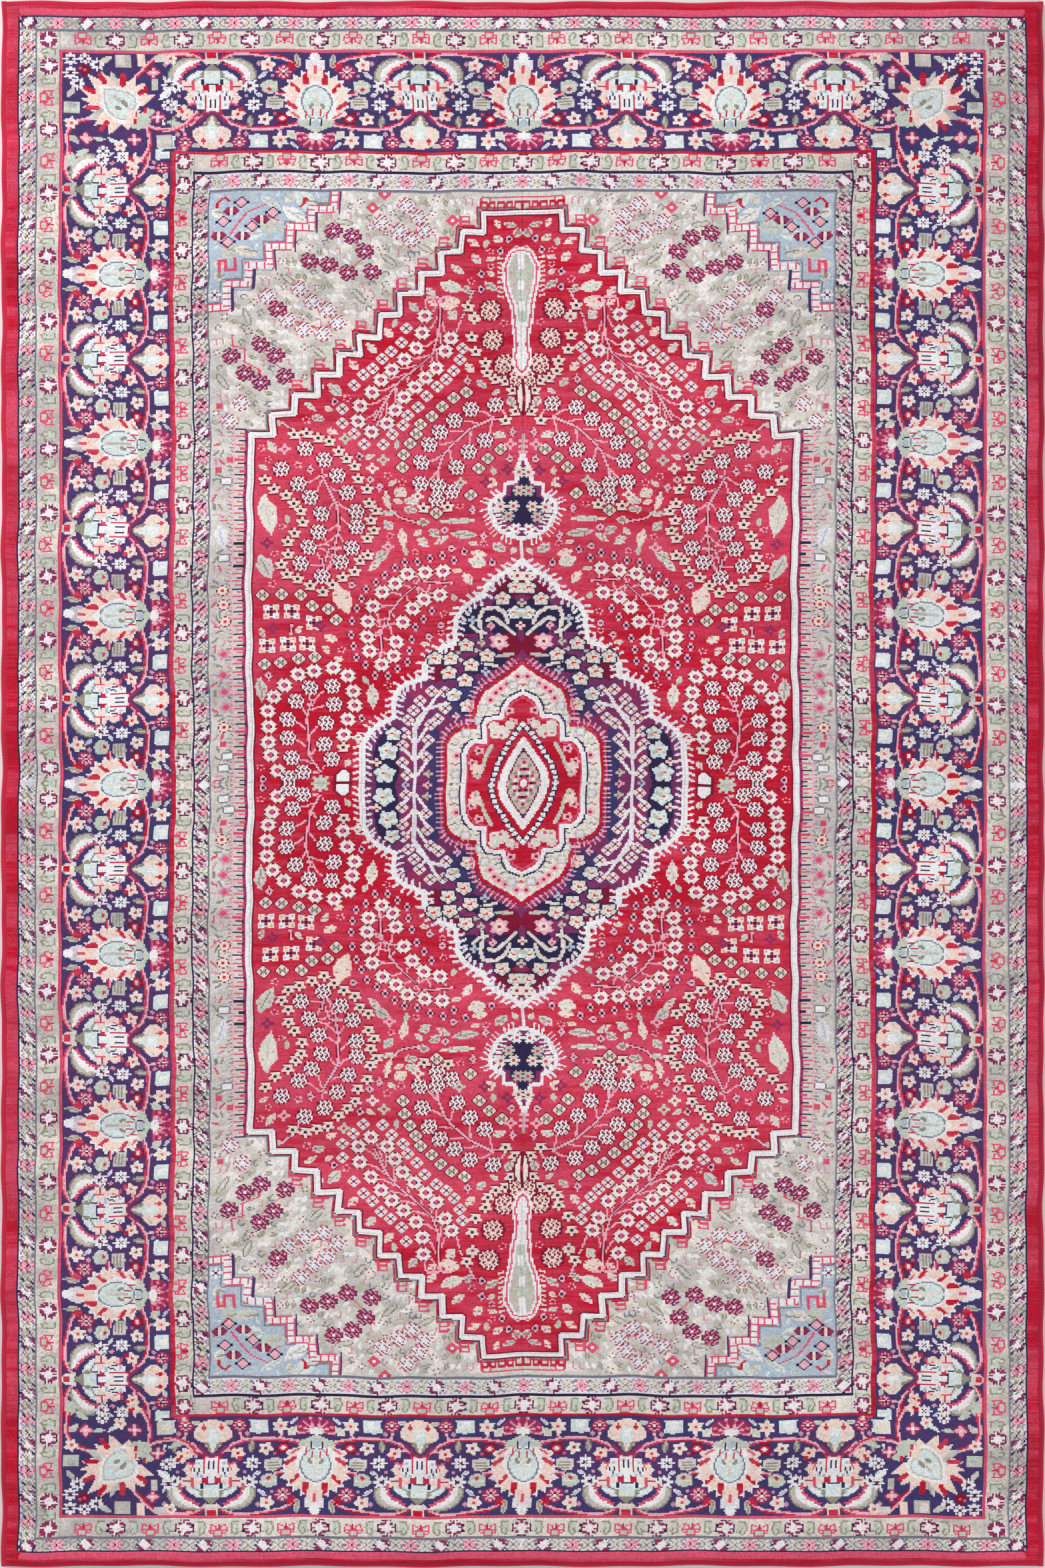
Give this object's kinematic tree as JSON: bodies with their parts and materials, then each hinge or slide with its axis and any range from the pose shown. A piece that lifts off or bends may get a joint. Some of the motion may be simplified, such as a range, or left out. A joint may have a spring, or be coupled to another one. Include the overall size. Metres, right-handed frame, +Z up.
{
  "type": "area rug",
  "caption": "Rectangular cut-pile area rug with a stepped medallion field, patterned borders, a woven foundation, a latex back and overcast edges.",
  "frame": {"origin": "centre of the underside, on the floor", "axes": "+X across the width, +Y along the length, +Z up out of the pile"},
  "size_m": [1.1994, 1.7988, 0.009],
  "materials": {
    "latex_back": "dull pale latex size coat with the weave showing through",
    "foundation_weave": "undyed cotton and jute plain weave",
    "overcast_yarn": "tightly wound crimson yarn",
    "edge_cord_yarn": "twisted undyed cotton cord",
    "crimson_pile": "cut velvet pile, crimson red with pink and ivory figures",
    "lilac_pile": "cut velvet pile, pale lilac white with small flowers",
    "cream_pile": "cut velvet pile, greyish cream with plum rosettes",
    "navy_pile": "cut velvet pile, violet navy with ivory, peach and red flowers",
    "beige_pile": "cut velvet pile, beige grey with grey green leaves and plum rosettes",
    "sky_pile": "cut velvet pile, pale blue with flower sprays",
    "ivory_pile": "cut velvet pile, ivory with a small lattice"
  },
  "bodies": {
    "root": {"size_coat": "latex_back", "woven_foundation": "foundation_weave", "overcasting_right": "overcast_yarn", "overcasting_left": "overcast_yarn", "overcasting_far": "overcast_yarn", "overcasting_near": "overcast_yarn", "edge_cord_right": "edge_cord_yarn", "edge_cord_left": "edge_cord_yarn", "edge_cord_far": "edge_cord_yarn", "edge_cord_near": "edge_cord_yarn", "pile_edge_band_right": "crimson_pile", "pile_edge_band_left": "crimson_pile", "pile_edge_band_far": "crimson_pile", "pile_edge_band_near": "crimson_pile", "pile_outer_minor_guard_right": "lilac_pile", "pile_outer_minor_guard_left": "lilac_pile", "pile_outer_minor_guard_far": "lilac_pile", "pile_outer_minor_guard_near": "lilac_pile", "pile_outer_guard_right": "cream_pile", "pile_outer_guard_left": "cream_pile", "pile_outer_guard_far": "cream_pile", "pile_outer_guard_near": "cream_pile", "pile_main_border_right": "navy_pile", "pile_main_border_left": "navy_pile", "pile_main_border_far": "navy_pile", "pile_main_border_near": "navy_pile", "pile_inner_guard_right": "cream_pile", "pile_inner_guard_left": "cream_pile", "pile_inner_guard_far": "cream_pile", "pile_inner_guard_near": "cream_pile", "pile_inner_minor_guard_right": "lilac_pile", "pile_inner_minor_guard_left": "lilac_pile", "pile_inner_minor_guard_far": "lilac_pile", "pile_inner_minor_guard_near": "lilac_pile", "pile_spandrel_far_right": "beige_pile", "pile_corner_far_right": "sky_pile", "pile_field_ground_far_right": "crimson_pile", "pile_spandrel_far_left": "beige_pile", "pile_corner_far_left": "sky_pile", "pile_field_ground_far_left": "crimson_pile", "pile_spandrel_near_right": "beige_pile", "pile_corner_near_right": "sky_pile", "pile_field_ground_near_right": "crimson_pile", "pile_spandrel_near_left": "beige_pile", "pile_corner_near_left": "sky_pile", "pile_field_ground_near_left": "crimson_pile", "pile_medallion_ring_far": "navy_pile", "pile_cartouche_far": "crimson_pile", "pile_pendant_far": "navy_pile", "pile_medallion_ring_near": "navy_pile", "pile_cartouche_near": "crimson_pile", "pile_pendant_near": "navy_pile", "pile_mandorla": "ivory_pile"}
  },
  "joints": []
}
